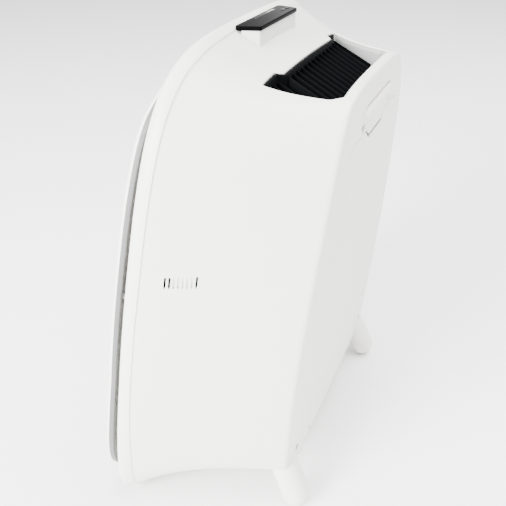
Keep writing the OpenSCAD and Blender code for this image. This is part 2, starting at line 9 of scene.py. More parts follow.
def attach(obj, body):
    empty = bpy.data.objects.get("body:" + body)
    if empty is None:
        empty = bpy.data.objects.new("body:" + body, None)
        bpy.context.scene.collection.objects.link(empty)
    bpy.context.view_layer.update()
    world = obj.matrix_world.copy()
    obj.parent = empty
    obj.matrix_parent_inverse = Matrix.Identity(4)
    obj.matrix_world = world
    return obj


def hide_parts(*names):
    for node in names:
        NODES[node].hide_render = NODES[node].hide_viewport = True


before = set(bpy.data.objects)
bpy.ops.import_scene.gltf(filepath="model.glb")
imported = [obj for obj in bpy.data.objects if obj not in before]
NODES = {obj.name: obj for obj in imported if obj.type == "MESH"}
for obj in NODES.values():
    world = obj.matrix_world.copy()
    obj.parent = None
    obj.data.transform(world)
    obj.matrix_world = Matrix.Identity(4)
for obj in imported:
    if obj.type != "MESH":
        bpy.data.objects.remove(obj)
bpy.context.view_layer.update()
scene = bpy.context.scene

# ------------------------------------------------------------------ camera
cam_data = bpy.data.cameras.new("view_camera")
cam = bpy.data.objects.new("view_camera", cam_data)
scene.collection.objects.link(cam)
cam.location = (0.6185, 0.2379, 0.6288)
cam_dir = Vector((-0.7895, -0.3331, -0.5155))
cam.rotation_euler = cam_dir.to_track_quat("-Z", "Y").to_euler()
cam_data.sensor_width = 36.0
cam_data.lens = 46.25
cam_data.clip_start = 0.01
scene.camera = cam

# ------------------------------------------------------------------ helpers
MM = 0.001            # metres in a millimetre
EDGE_SHARE = 0.48     # a rounded corner takes at most this share of an edge


def new_object(name, mesh):
    ob = bpy.data.objects.new(name, mesh)
    scene.collection.objects.link(ob)
    return ob


def mesh_mm(name, verts, faces):
    """Mesh from points in millimetres."""
    me = bpy.data.meshes.new(name)
    me.from_pydata([(v[0] * MM, v[1] * MM, v[2] * MM) for v in verts], [], faces)
    return me


def make(name, verts, faces, mat, body, slot=None, smooth=True, angle=35.0):
    """Builds a piece from millimetre points and gives it its material and body."""
    return finish_mesh(name, mesh_mm(name, verts, faces), mat, body, smooth, angle)


def finish_mesh(name, me, mat, body, smooth=True, angle=35.0):
    """Joins doubled points, shades the mesh and makes it a piece on a body."""
    bm = bmesh.new()
    bm.from_mesh(me)
    bmesh.ops.remove_doubles(bm, verts=bm.verts, dist=1e-6)
    bmesh.ops.recalc_face_normals(bm, faces=bm.faces)
    bm.to_mesh(me)
    bm.free()
    me.update()
    if smooth:
        me.shade_smooth()
        me.set_sharp_from_angle(angle=math.radians(angle))
    ob = new_object(name, me)
    if mat:
        me.materials.append(mat)
    if body:
        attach(ob, body)
    return ob


def apply_modifiers(ob):
    """Replaces the mesh by what its modifiers make of it."""
    dg = bpy.context.evaluated_depsgraph_get()
    me = bpy.data.meshes.new_from_object(ob.evaluated_get(dg))
    ob.modifiers.clear()
    old = ob.data
    ob.data = me
    bpy.data.meshes.remove(old)


def boolean(ob, cutters, op="DIFFERENCE"):
    """Cuts a piece with each cutter and removes the cutters."""
    for c in cutters:
        m = ob.modifiers.new("cut", "BOOLEAN")
        m.object = c
        m.operation = op
        m.solver = "MANIFOLD"
    apply_modifiers(ob)
    for c in cutters:
        me = c.data
        bpy.data.objects.remove(c)
        bpy.data.meshes.remove(me)


def cutter(name, verts, faces):
    """Closed mesh with no body, for a boolean or as a start for a piece."""
    me = mesh_mm(name, verts, faces)
    bm = bmesh.new()
    bm.from_mesh(me)
    bmesh.ops.recalc_face_normals(bm, faces=bm.faces)
    bm.to_mesh(me)
    bm.free()
    return new_object(name, me)


def prism(name, poly, axis, lo, hi):
    """Closed prism of a 2D outline along y or z, as a cutter."""
    def pt(p, h):
        return (p[0], p[1], h) if axis == "z" else (p[0], h, p[1])

    n = len(poly)
    v = [pt(p, lo) for p in poly] + [pt(p, hi) for p in poly]
    f = [list(range(n)), list(range(n, 2 * n))[::-1]]
    f += [[j, (j + 1) % n, n + (j + 1) % n, n + j] for j in range(n)]
    return cutter(name, v, f)


def flat(rows):
    """The points of all rings in one list."""
    return [v for r in rows for v in r]


def ring_faces(rows, n, closed_rows=False, caps=True):
    """Faces that join a stack of rings of n points each."""
    f = []
    m = rows if closed_rows else rows - 1
    for i in range(m):
        k = (i + 1) % rows
        for j in range(n):
            f.append([i * n + j, i * n + (j + 1) % n, k * n + (j + 1) % n, k * n + j])
    if caps and not closed_rows:
        f.append(list(range(n))[::-1])
        f.append(list(range((rows - 1) * n, rows * n)))
    return f


def catmull(a, b, c, d, t):
    """Point at t between b and c on a Catmull-Rom curve."""
    return [0.5 * (2 * q + (r - p) * t + (2 * p - 5 * q + 4 * r - s) * t * t
                   + (3 * q - p - 3 * r + s) * t ** 3)
            for p, q, r, s in zip(a, b, c, d)]


def spline(pts, k):
    """Open curve through the points, with k steps between two."""
    n = len(pts)
    out = []
    for i in range(n - 1):
        a, b, c, d = pts[max(i - 1, 0)], pts[i], pts[i + 1], pts[min(i + 2, n - 1)]
        out += [catmull(a, b, c, d, j / k) for j in range(k)]
    out.append(list(pts[-1]))
    return out


def round_poly(poly, radii, seg=5):
    """Rounds a 2D outline's corners with arcs."""
    out = []
    n = len(poly)
    for i in range(n):
        p, a, b = Vector(poly[i]), Vector(poly[i - 1]), Vector(poly[(i + 1) % n])
        r = radii[i] if isinstance(radii, (list, tuple)) else radii
        u, w = (a - p), (b - p)
        len_u, len_w = u.length, w.length
        u.normalize()
        w.normalize()
        ang = math.acos(max(-1, min(1, u.dot(w))))
        if r <= 0 or ang > math.radians(178):
            out.append((p.x, p.y))
            continue
        t = min(r / math.tan(ang / 2), len_u * EDGE_SHARE, len_w * EDGE_SHARE)
        r2 = t * math.tan(ang / 2)
        c = p + (u + w).normalized() * (r2 / math.sin(ang / 2))
        s, e = p + u * t - c, p + w * t - c
        a0, a1 = math.atan2(s.y, s.x), math.atan2(e.y, e.x)
        da = (a1 - a0 + math.pi) % (2 * math.pi) - math.pi
        for j in range(seg + 1):
            q = a0 + da * j / seg
            out.append((c.x + r2 * math.cos(q), c.y + r2 * math.sin(q)))
    return out


def area2(poly):
    """Twice the signed area of a 2D outline."""
    return sum(poly[i - 1][0] * poly[i][1] - poly[i][0] * poly[i - 1][1] for i in range(len(poly)))


def grow(poly, d):
    """Moves a 2D outline outwards by d."""
    s = 1 if area2(poly) > 0 else -1
    out = []
    n = len(poly)
    for i in range(n):
        p, a, b = Vector(poly[i]), Vector(poly[i - 1]), Vector(poly[(i + 1) % n])
        e1, e2 = (p - a), (b - p)
        if e1.length < 1e-6 or e2.length < 1e-6:
            out.append((p.x, p.y))
            continue
        n1 = Vector((e1.y, -e1.x)).normalized() * s
        n2 = Vector((e2.y, -e2.x)).normalized() * s
        m = (n1 + n2)
        m = m / max(0.35, m.length_squared / 2) if m.length > 1e-6 else n1
        out.append((p.x + m.x * d, p.y + m.y * d))
    return out


def resample(poly, step):
    """Divides a closed outline's edges into parts of about one step."""
    out = []
    n = len(poly)
    for i in range(n):
        a, b = Vector(poly[i]), Vector(poly[(i + 1) % n])
        k = max(1, int(round((b - a).length / step)))
        out += [tuple(a.lerp(b, j / k)) for j in range(k)]
    return out


def sweep(path, r, seg=8, closed=True):
    """Tube mesh along a path of 3D points, with one radius or one for each point."""
    P = [Vector(p) for p in path]
    n = len(P)
    verts = []
    up = None
    for i in range(n):
        if closed:
            t = P[(i + 1) % n] - P[i - 1]
        else:
            t = P[min(i + 1, n - 1)] - P[max(i - 1, 0)]
        t.normalize()
        if up is None:
            up = t.orthogonal().normalized()
        up = (up - t * up.dot(t)).normalized()
        side = t.cross(up)
        rr = r[i] if isinstance(r, (list, tuple)) else r
        for j in range(seg):
            q = 2 * math.pi * j / seg
            verts.append(P[i] + up * (rr * math.cos(q)) + side * (rr * math.sin(q)))
    if closed:
        # the ring may have turned on its way round: find the best shift to close it
        last = verts[-seg:]
        best = min(range(seg), key=lambda k: (last[k] - verts[0]).length)
        faces = ring_faces(n, seg, caps=False)
        for j in range(seg):
            a, b = (n - 1) * seg + (j + best) % seg, (n - 1) * seg + (j + 1 + best) % seg
            faces.append([a, b, (j + 1) % seg, j])
    else:
        faces = ring_faces(n, seg)
    return verts, faces


def rounded_box(name, lo, hi, r, mat, body, seg=3):
    """Box between two corners with all its edges rounded."""
    me = bpy.data.meshes.new(name)
    bm = bmesh.new()
    bmesh.ops.create_cube(bm, size=1.0)
    c = [(a + b) / 2 for a, b in zip(lo, hi)]
    s = [abs(b - a) for a, b in zip(lo, hi)]
    for v in bm.verts:
        v.co = Vector([(v.co[k] * s[k] + c[k]) * MM for k in range(3)])
    if r > 0:
        bmesh.ops.bevel(bm, geom=bm.edges[:], offset=r * MM, segments=seg, profile=0.5, affect="EDGES",
                        clamp_overlap=True)
    bm.to_mesh(me)
    bm.free()
    return finish_mesh(name, me, mat, body, True, 40)


def plate_from_outline(name, poly, z_lo, z_hi, r, mat, body, slot=None, seg=3):
    """Slab of a 2D outline with its top and bottom edges rounded."""
    rows = []
    for k in range(seg + 1):
        q = math.pi / 2 * k / seg
        rows.append((grow(poly, -r * (1 - math.sin(q))), z_lo + r * (1 - math.cos(q))))
    for k in range(seg + 1):
        q = math.pi / 2 * k / seg
        rows.append((grow(poly, -r * (1 - math.cos(q))), z_hi - r * (1 - math.sin(q))))
    v = [(p[0], p[1], h) for ring, h in rows for p in ring]
    return make(name, v, ring_faces(len(rows), len(poly)), mat, body, slot)


# ------------------------------------------------------------------ materials
def material(name, base, rough, var=0.03, grain=900.0, bump=0.04, rough_var=0.08, metallic=0.0,
             coat=0.0, spec=0.5, transmission=0.0):
    """Procedural finish: slow colour drift, fine moulded grain in the bump, and roughness that varies."""
    m = bpy.data.materials.new(name)
    m.use_nodes = True
    nt = m.node_tree
    nt.nodes.clear()
    N, L = nt.nodes, nt.links
    out = N.new("ShaderNodeOutputMaterial")
    bsdf = N.new("ShaderNodeBsdfPrincipled")
    L.new(bsdf.outputs[0], out.inputs[0])
    bsdf.inputs["Metallic"].default_value = metallic
    bsdf.inputs["Specular IOR Level"].default_value = spec
    if coat:
        bsdf.inputs["Coat Weight"].default_value = coat
        bsdf.inputs["Coat Roughness"].default_value = 0.1
    if transmission:
        bsdf.inputs["Transmission Weight"].default_value = transmission
    tc = N.new("ShaderNodeTexCoord")
    slow = N.new("ShaderNodeTexNoise")
    slow.inputs["Scale"].default_value = 9.0
    slow.inputs["Detail"].default_value = 3.0
    L.new(tc.outputs["Object"], slow.inputs["Vector"])
    fine = N.new("ShaderNodeTexNoise")
    fine.inputs["Scale"].default_value = grain
    fine.inputs["Detail"].default_value = 2.0
    L.new(tc.outputs["Object"], fine.inputs["Vector"])
    ramp = N.new("ShaderNodeValToRGB")
    lo = [c * (1 - var) for c in base]
    hi = [min(1, c * (1 + var * 0.4)) for c in base]
    ramp.color_ramp.elements[0].position = 0.3
    ramp.color_ramp.elements[0].color = (*lo, 1)
    ramp.color_ramp.elements[1].position = 0.7
    ramp.color_ramp.elements[1].color = (*hi, 1)
    mixf = N.new("ShaderNodeMath")
    mixf.operation = "MULTIPLY_ADD"
    L.new(fine.outputs[0], mixf.inputs[0])
    mixf.inputs[1].default_value = 0.35
    addf = N.new("ShaderNodeMath")
    addf.operation = "MULTIPLY"
    L.new(slow.outputs[0], addf.inputs[0])
    addf.inputs[1].default_value = 0.65
    L.new(addf.outputs[0], mixf.inputs[2])
    L.new(mixf.outputs[0], ramp.inputs[0])
    L.new(ramp.outputs[0], bsdf.inputs["Base Color"])
    rr = N.new("ShaderNodeMapRange")
    rr.inputs["To Min"].default_value = max(0.02, rough - rough_var)
    rr.inputs["To Max"].default_value = min(1.0, rough + rough_var)
    L.new(mixf.outputs[0], rr.inputs["Value"])
    L.new(rr.outputs[0], bsdf.inputs["Roughness"])
    if bump:
        bp = N.new("ShaderNodeBump")
        bp.inputs["Strength"].default_value = bump
        bp.inputs["Distance"].default_value = 0.0004
        L.new(fine.outputs[0], bp.inputs["Height"])
        L.new(bp.outputs[0], bsdf.inputs["Normal"])
    return m


M = {
    "shell": material("shell_white", (0.80, 0.792, 0.758), 0.42, var=0.012, grain=1400, bump=0.05),
    "front": material("front_white", (0.82, 0.811, 0.775), 0.40, var=0.012, grain=1400, bump=0.05),
    "inner": material("inner_white", (0.60, 0.60, 0.58), 0.5, var=0.03, grain=900, bump=0.06),
    "gloss": material("gloss_black", (0.002, 0.002, 0.0022), 0.20, var=0.2, grain=300, bump=0.0,
                      rough_var=0.04, spec=0.015),
    "display": material("display_glass", (0.003, 0.003, 0.004), 0.08, var=0.2, grain=300, bump=0.0,
                        rough_var=0.02, spec=0.2),
    # black of the fins, also used for the painted shade on the outlet's front wall
    "fin": material("fin_black_and_painted_shade", (0.0025, 0.003, 0.0035), 0.55, var=0.25, grain=1200, bump=0.08, spec=0.02),
    "dark": material("dark_plastic", (0.022, 0.023, 0.024), 0.55, var=0.25, grain=1000, bump=0.10),
    "grey": material("grey_plastic", (0.20, 0.205, 0.205), 0.55, var=0.08, grain=1000, bump=0.08),
    "rim": material("rim_grey", (0.36, 0.37, 0.355), 0.45, var=0.03, grain=1000, bump=0.06),
    "band": material("band_grey", (0.13, 0.135, 0.13), 0.55, var=0.05, grain=1000, bump=0.06),
    "seam": material("seam_grey", (0.16, 0.16, 0.155), 0.7, var=0.05, grain=1000, bump=0.05),
    "rubber": material("rubber", (0.03, 0.03, 0.03), 0.75, var=0.2, grain=700, bump=0.2),
    "steel": material("zinc_steel", (0.58, 0.59, 0.60), 0.34, var=0.1, grain=500, bump=0.03, metallic=1.0,
                      rough_var=0.12),
    "alu": material("aluminium", (0.74, 0.75, 0.77), 0.32, var=0.08, grain=600, bump=0.04, metallic=1.0),
    "copper": material("copper", (0.72, 0.36, 0.20), 0.30, var=0.15, grain=400, bump=0.03, metallic=1.0),
    "painted": material("black_paint", (0.018, 0.018, 0.02), 0.35, var=0.2, grain=300, bump=0.12),
    "pcb": material("circuit_board", (0.02, 0.13, 0.06), 0.35, var=0.2, grain=350, bump=0.05, coat=0.3),
    "tank": material("tank_plastic", (0.74, 0.77, 0.78), 0.28, var=0.02, grain=900, bump=0.02, transmission=0.25),
    "float": material("float_orange", (0.80, 0.32, 0.06), 0.5, var=0.06, grain=900, bump=0.08),
}
# the finish of every CAD node, also of those that a Blender piece stands for
CAD_LOOK = {
    "intake_grille": "dark", "cover_studs": "grey", "air_filter": "grey", "control_board": "pcb", "evaporator": "alu",
    "condenser": "alu", "refrigerant_pipes": "copper", "filter_drier": "copper", "compressor": "painted",
    "compressor_mounts": "rubber", "compressor_terminal_cover": "dark", "fan_scroll": "dark", "fan_wheel": "dark",
    "fan_motor": "steel", "drip_tray": "rim", "base_plate": "steel", "tank_rails": "grey", "tank_lid": "rim",
    "tank_float": "float", "drain_port": "grey", "power_inlet": "front", "main_board": "pcb",
    "run_capacitor": "painted", "humidity_sensor": "pcb", "leg_brackets": "grey", "housing_screws": "dark",
    "leg_screws": "steel",
    "front_pads": "rubber", "leg_pads": "rubber", "drain_cap": "front", "outlet_duct": "rim", "outlet_fins": "fin",
    "handle_pocket": "inner", "carry_handle": "front", "water_tank": "tank", "housing_top": "shell",
    "housing_left": "shell", "housing_right": "shell", "housing_base": "shell",
    "front_shell": "front", "front_cover": "front", "control_pod": "shell", "control_slab": "gloss",
    "display_window": "display", "key_power": "gloss", "key_mode": "gloss", "leg_left": "front", "leg_right": "front",
}
for n, key in CAD_LOOK.items():
    ob = NODES[n]
    if not ob.material_slots:
        ob.data.materials.append(M[key])
    for sl in ob.material_slots:
        sl.material = M[key]

# ------------------------------------------------------------------ body surfaces (same design numbers as the CAD)
LEAN = math.radians(7.4)          # the joint plane leans back
CL, SL = math.cos(LEAN), math.sin(LEAN)
SEAM_Y = -82.0                    # joint line on the floor plane
REAR_Y = 108.0
REAR_KNEE_Z = 430                 # the rear face runs forward below this height
REAR_MID = (0, 250)               # middle of the rear face, x and z
HALF_W, MID_V, HALF_V = 227, 252, 250.5
FLARE, FLARE_TOP = 0.22, 180      # the front shell deepens towards the floor
CROWN, CROWN_HALF_W = 2, 165      # the rear face swells at its middle
# half outlines from the bottom up: at the joint, the rear corner, the front shell, the cover
SA = [(0, 2), (150, 2), (190, 6), (212, 27), (222, 76), (227, 151), (224, 232), (215, 313), (203, 388),
      (186, 442), (160, 476), (125, 492), (80, 499), (0, 503)]
SB = [(0, 45), (95, 45), (138, 47), (157, 62.5), (163, 104), (166, 172), (161, 245), (150, 312), (135, 379),
      (120, 422), (101, 449), (78, 457), (45, 460), (0, 460.5)]
SF = [(0, 2), (150, 1.6), (192, 3), (216.5, 22), (226, 74), (228, 151), (224, 232), (215, 313), (203, 388),
      (186.5, 443), (161.5, 479), (126.5, 496.5), (82, 503), (0, 504.5)]
SC = [(0, 20), (148, 20), (186, 24), (209, 43), (221, 80), (222.5, 151), (218.5, 232), (209, 313), (194.5, 388),
      (173.5, 438), (138, 464), (98, 476), (60, 480), (0, 482)]
OUTLINE_STEPS = 8


def mir(p):
    return (-p[0], p[1])


def outline(P, k):
    """Whole closed outline from its half, as a curve with k steps between two points."""
    n = len(P)
    h = []
    for i in range(n - 1):
        a = mir(P[1]) if i == 0 else P[i - 1]
        d = mir(P[n - 2]) if i == n - 2 else P[i + 2]
        h += [tuple(catmull(a, P[i], P[i + 1], d, j / k)) for j in range(k)]
    h.append(tuple(P[-1]))
    return h + [mir(p) for p in h[-2:0:-1]]


OA, OB, OF, OC = (outline(half, OUTLINE_STEPS) for half in (SA, SB, SF, SC))
NR = len(OA)


def inset(P, d):
    """Outline moved inwards by about d, by scaling it."""
    return [(p[0] * (1 - d / HALF_W), MID_V + (p[1] - MID_V) * (1 - d / HALF_V)) for p in P]


def lw(x, y, v):
    """From the leaning front's own axes to the part's frame."""
    return (x, SEAM_Y + y * CL + v * SL, -y * SL + v * CL)


def fy(y, v):
    """Depth in front of the joint, which grows towards the floor."""
    return y * (1 + FLARE * max(0, 1 - v / FLARE_TOP))


def lring(d, y, own=None):
    """Ring in the leaning front: the joint's outline, or a piece's own with the flare."""
    return [lw(p[0], fy(y, p[1]) if own else y, p[1]) for p in inset(own or OA, d)]


def yrear(z):
    """Depth of the rear face at a height, at its side edges."""
    t = max(0, REAR_KNEE_Z - z)
    return REAR_Y - 0.077 * t * t / (t + 60)


def yface(x, z):
    return yrear(z) + CROWN * (1 - min(1, abs(x) / CROWN_HALF_W) ** 2.4)


def hring(s):
    """Ring of the housing at share s of the way from the joint to the rear corner."""
    gx = s ** 1.12
    out = []
    for a2, b in zip(OA, OB):
        a = lw(a2[0], 0, a2[1])
        gz = 1 - (1 - s) ** (3.4 if a2[1] < 250 else 2.7)
        out.append((a[0] + (b[0] - a[0]) * gx, a[1] + (yrear(b[1]) - 2 - a[1]) * s, a[2] + (b[1] - a[2]) * gz))
    return out


def fring(f, g, dy):
    """Ring on the rear face: the rear corner's outline scaled by f across and g in height."""
    out = []
    for p in OB:
        z = REAR_MID[1] + (p[1] - REAR_MID[1]) * g
        out.append((p[0] * f, yface(p[0] * f, z) + dy, z))
    return out


def loft_rows(rows, sub):
    """Splines across rings, column by column."""
    cols = [spline([r[j] for r in rows], sub) for j in range(len(rows[0]))]
    return [[c[i] for c in cols] for i in range(len(cols[0]))]


def capped_rows(rows):
    """Rings joined in order, the last one closed by a fan to the middle of the rear face."""
    v = flat(rows) + [(REAR_MID[0], yface(*REAR_MID), REAR_MID[1])]
    last = (len(rows) - 1) * NR
    f = ring_faces(len(rows), NR, caps=False)
    f += [[last + j, last + (j + 1) % NR, len(v) - 1] for j in range(NR)]
    return v, f


def shelled(name, rows, wall):
    """Skin over the rings with a wall inwards, in metres."""
    v, f = capped_rows(rows)
    ob = make(name, v, f, M["shell"], None)
    md = ob.modifiers.new("wall", "SOLIDIFY")
    md.thickness = wall
    md.offset = -1
    apply_modifiers(ob)
    return ob


ctrl = [lring(0, 0.15)] + [hring(s) for s in (0.05, 0.12, 0.22, 0.36, 0.54, 0.74, 0.92)]
ctrl += [fring(1, 1, -2.6), fring(0.965, 0.975, -0.6), fring(0.90, 0.93, 0), fring(0.6, 0.62, 0), fring(0.25, 0.27, 0)]
rows = loft_rows(ctrl, 5)
# the uncut body: pieces find the surface and their smooth normals on it, and it goes at the end
skin = make("skin_guide", *capped_rows(rows), None, None)
bm = bmesh.new()
bm.from_mesh(skin.data)
SKIN = BVHTree.FromBMesh(bm)
bm.free()


def on_top(x, y):
    """Point, in millimetres, and normal of the body straight below."""
    h = SKIN.ray_cast(Vector((x * MM, y * MM, 0.6)), Vector((0, 0, -1)))
    return (h[0] / MM, h[1]) if h[0] else (None, None)


def on_rear(x, z):
    """Point, in millimetres, and normal of the body straight ahead of the rear."""
    h = SKIN.ray_cast(Vector((x * MM, 0.3, z * MM)), Vector((0, -1, 0)))
    return (h[0] / MM, h[1]) if h[0] else (None, None)


def surface_normals(ob, guide, tree, keep=0.12, cone=0.86):
    """Gives cut skins the smooth normals of the uncut surface, so that cut edges do not dent the shading."""
    gm = guide.data
    me = ob.data
    vn = [v.normal.copy() for v in gm.vertices]
    cache = {}
    normals = []
    for p in me.polygons:
        for vi in p.vertices:
            if vi not in cache:
                co = me.vertices[vi].co
                loc, _, idx, dist = tree.find_nearest(co)
                if loc is None or dist > keep * MM:
                    cache[vi] = None
                else:
                    gp = gm.polygons[idx]
                    vs = [gm.vertices[i].co for i in gp.vertices]
                    w = poly_3d_calc(vs, loc)
                    n = Vector((0, 0, 0))
                    for wi, gi in zip(w, gp.vertices):
                        n += vn[gi] * wi
                    cache[vi] = n.normalized() if n.length > 1e-6 else None
            n = cache[vi]
            if n is None or n.dot(p.normal) < cone:
                normals.append(tuple(p.normal))
            else:
                normals.append(tuple(n))
    me.shade_smooth()
    me.normals_split_custom_set(normals)


def stadium(w, h, cx, cz, seg=14):
    """Outline with round ends, w long and h high."""
    r = h / 2
    out = []
    for side in (1, -1):
        c = cx + side * (w / 2 - r)
        for j in range(seg + 1):
            q = -math.pi / 2 + math.pi * j / seg + (0 if side > 0 else math.pi)
            out.append((c + r * math.cos(q), cz + r * math.sin(q)))
    return out


OUT_H0, OUT_H1, OUT_Y0, OUT_Y1 = 107.0, 93.0, 31.0, 98.0
# the tongue is the middle of the front edge, set back
outlet_poly = round_poly([(-OUT_H0, OUT_Y0), (-78, OUT_Y0), (-72, OUT_Y0 + 6.5), (72, OUT_Y0 + 6.5), (78, OUT_Y0),
                          (OUT_H0, OUT_Y0), (OUT_H1 + 1.5, OUT_Y1 - 10), (OUT_H1 - 8, OUT_Y1),
                          (-OUT_H1 + 8, OUT_Y1), (-OUT_H1 - 1.5, OUT_Y1 - 10)],
                         [1.5, 2, 3, 3, 2, 1.5, 6, 6, 6, 6])
TANK_H, TANK_TOP = 89.0, 411.0


def tank_outline(e):
    """Outline of the tank's face with its finger dip, larger by e."""
    p = [(-TANK_H - e, 62 - e), (-TANK_H - e + 8, 54 - e), (TANK_H + e - 8, 54 - e), (TANK_H + e, 62 - e),
         (TANK_H + e, TANK_TOP - 8 + e), (TANK_H + e - 8, TANK_TOP + e), (39 - e, TANK_TOP + e),
         (26, TANK_TOP - 10.2 + 4 * e), (-26, TANK_TOP - 10.2 + 4 * e), (-39 + 1.6 * e, TANK_TOP + e),
         (-TANK_H - e + 8, TANK_TOP + e), (-TANK_H - e, TANK_TOP - 8 + e)]
    return round_poly(p, [6, 6, 6, 6, 6, 6, 5, 5, 5, 5, 6, 6])


def arc(c, r, start, end, n=8):
    """Points of an arc between two angles in degrees."""
    out = []
    for j in range(n + 1):
        q = math.radians(start + (end - start) * j / n)
        out.append((c[0] + r * math.cos(q), c[1] + r * math.sin(q)))
    return out


def handle_outline(g):
    """Opening that follows the bail, larger by g: two feet, two shoulders and a flat top."""
    r = 6.2 + g
    half = arc((52, 421), r, -90, 19, 8) + arc((49.6, 428), r, 19, 68, 4) + arc((42, 431), r, 68, 90, 3)
    low = [(46.2, 421 - g - 0.1), (47.6, 421 - r * 0.72), (49.6, 421 - r * 0.93)]
    right = low + half
    return right + [(-x, z) for x, z in right[::-1]]


def bead_top(poly, r, name, mat, body, slot, seg=8):
    """Rounded edge of an opening in the top: a thin tube that lies in the surface."""
    pts = []
    for x, y in resample(grow(poly, r), 2.0):
        p, n = on_top(x, y)
        if p:
            pts.append(p - n * r)
    v, f = sweep(pts, r, seg=seg, closed=True)
    return make(name, v, f, mat, body, slot, True, 60)


def bead_rear(poly, r, name, mat, body, slot, seg=8, side=1):
    """The same on the rear face, outside the outline or, with side -1, inside it."""
    pts = []
    for x, z in resample(grow(poly, r * side), 2.0):
        p, n = on_rear(x, z)
        if p:
            pts.append(p - n * r)
    v, f = sweep(pts, r, seg=seg, closed=True)
    return make(name, v, f, mat, body, slot, True, 60)


def leg_axis(m):
    """Centre of a leg's round end and its direction, with m -1 or 1 for the side."""
    d = Vector((-5 * m, -19, 42)).normalized()
    return Vector((144.7 * m, 90.9, 16)), d


def cyl_cutter(name, p, d, r, l, seg=40):
    """Cylinder from p along d, as a cutter."""
    d = Vector(d).normalized()
    u = d.orthogonal().normalized()
    w = d.cross(u)
    p = Vector(p)
    v = []
    for h in (0, l):
        for j in range(seg):
            q = 2 * math.pi * j / seg
            v.append(p + d * h + (u * math.cos(q) + w * math.sin(q)) * r)
    return cutter(name, v, ring_faces(2, seg))


# ------------------------------------------------------------------ rear housing
BEAD = 1.0
SLOT_SIZE = (11.9, 1.9)
SLOT_FIRST, SLOT_STEP = (200.4, -23.5, 309.3), (-1.57, 3.74, 0.1)
SLOT_TURNS = ((-66.5, "Z"), (-8.4, "Y"), (-4, "X"))
THROUGH_SLOTS = (0, 1, 7)
GROOVE_DEPTH = 1.35
LEG_BORE_R, LEG_BORE_L = 16.3, 77
PORT_BORE, GLAND_BORE = ((-124, 60, 150), 9.15), ((-124, 60, 118), 8.75)


def edge_ring(ring, d, dy):
    """Ring of the joint's rounded edge: in by d and back by dy."""
    return [(p[0] * (1 - d / HALF_W), p[1] + dy, 250 + (p[2] - 250) * (1 - d / 250)) for p in ring]


joint_ring = lring(0, 0.15)
rounded_edge = [edge_ring(joint_ring, 0.8, 0.02), edge_ring(joint_ring, 0.25, 0.25),
                [(p[0], p[1] + 0.9, p[2]) for p in joint_ring]]
housing = shelled("housing_shell", rounded_edge + rows[1:], 0.0026)
slots = []
for i in range(8):
    place = Matrix.Translation(Vector([a + i * b for a, b in zip(SLOT_FIRST, SLOT_STEP)]))
    for turn, axis in SLOT_TURNS:
        place = place @ Matrix.Rotation(math.radians(turn), 4, axis)
    out_dir = (place.to_3x3() @ Vector((0, 1, 0))).normalized()
    hit = SKIN.ray_cast((place @ Vector((0, 40, 0))) * MM, -out_dir)
    surface = (hit[0] / MM - place.translation).dot(out_dir)
    back = -12 if i in THROUGH_SLOTS else surface - GROOVE_DEPTH
    prof = stadium(*SLOT_SIZE, 0, 0, 6)
    v = [place @ Vector((b, h, a)) for h in (back, 12) for a, b in prof]
    slots.append(cutter("slot", v, ring_faces(2, len(prof))))
cuts = [prism("c_out", resample(grow(outlet_poly, BEAD), 4), "z", 425, 520),
        prism("c_tank", resample(grow(tank_outline(0.9), 0.8), 4), "y", 70, 140),
        prism("c_handle", handle_outline(0.9), "y", 85, 140)] + slots
for m in (-1, 1):
    p, d = leg_axis(m)
    cuts.append(cyl_cutter("c_leg", p, d, LEG_BORE_R, LEG_BORE_L))
for name, (p, r) in (("c_port", PORT_BORE), ("c_gland", GLAND_BORE)):
    cuts.append(cyl_cutter(name, p, (0, 1, 0), r, 60))
for x in (-131, 131):
    cuts.append(cyl_cutter("c_screw", (x, 60, 72), (0, 1, 0), 4.1, 60, 24))
boolean(housing, cuts)
surface_normals(housing, skin, SKIN)
housing.data.materials.clear()
housing.data.materials.append(M["shell"])
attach(housing, "housing")
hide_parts("housing_top", "housing_left", "housing_right", "housing_base")
bead_top(outlet_poly, BEAD, "outlet_edge", M["shell"], "housing", "shell_white")
bead_rear(tank_outline(0.9), 0.8, "tank_bay_edge", M["shell"], "housing", "shell_white")
bead_rear(handle_outline(0), 0.9, "handle_opening_edge", M["shell"], "housing", "shell_white")

# ------------------------------------------------------------------ front shell
RING_RIM = -5         # profile points ahead of this depth follow the front shell's own outline
shell_profile = [(3.2, -9.0), (3.0, -0.3), (2.8, -0.12), (0.9, -0.12), (0.25, -0.35), (0.0, -1.0), (0.0, -7.0),
                 (0.4, -9.2), (1.2, -11.0), (2.2, -13.0), (3.8, -14.8), (6.0, -16.1), (9.0, -17.0), (16, -17.1),
                 (44.6, -17), (45.6, -16.8), (46, -16.2), (46, -14.6), (6.6, -14.4)]
rings = [lring(d, y, OF if y < RING_RIM else None) for d, y in shell_profile]
front = make("front_shell_skin", flat(rings), ring_faces(len(rings), NR, closed_rows=True), M["front"],
             "housing", "front_white", True, 50)
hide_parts("front_shell")

# dark gasket at the bottom of the joint line
rings = [lring(d, y) for d, y in ((0.45, -0.11), (0.45, 0.16), (2.6, 0.16), (2.6, -0.11))]
make("joint_gasket", flat(rings), ring_faces(len(rings), NR, closed_rows=True), M["seam"],
     "housing", "mid_grey", True, 40)

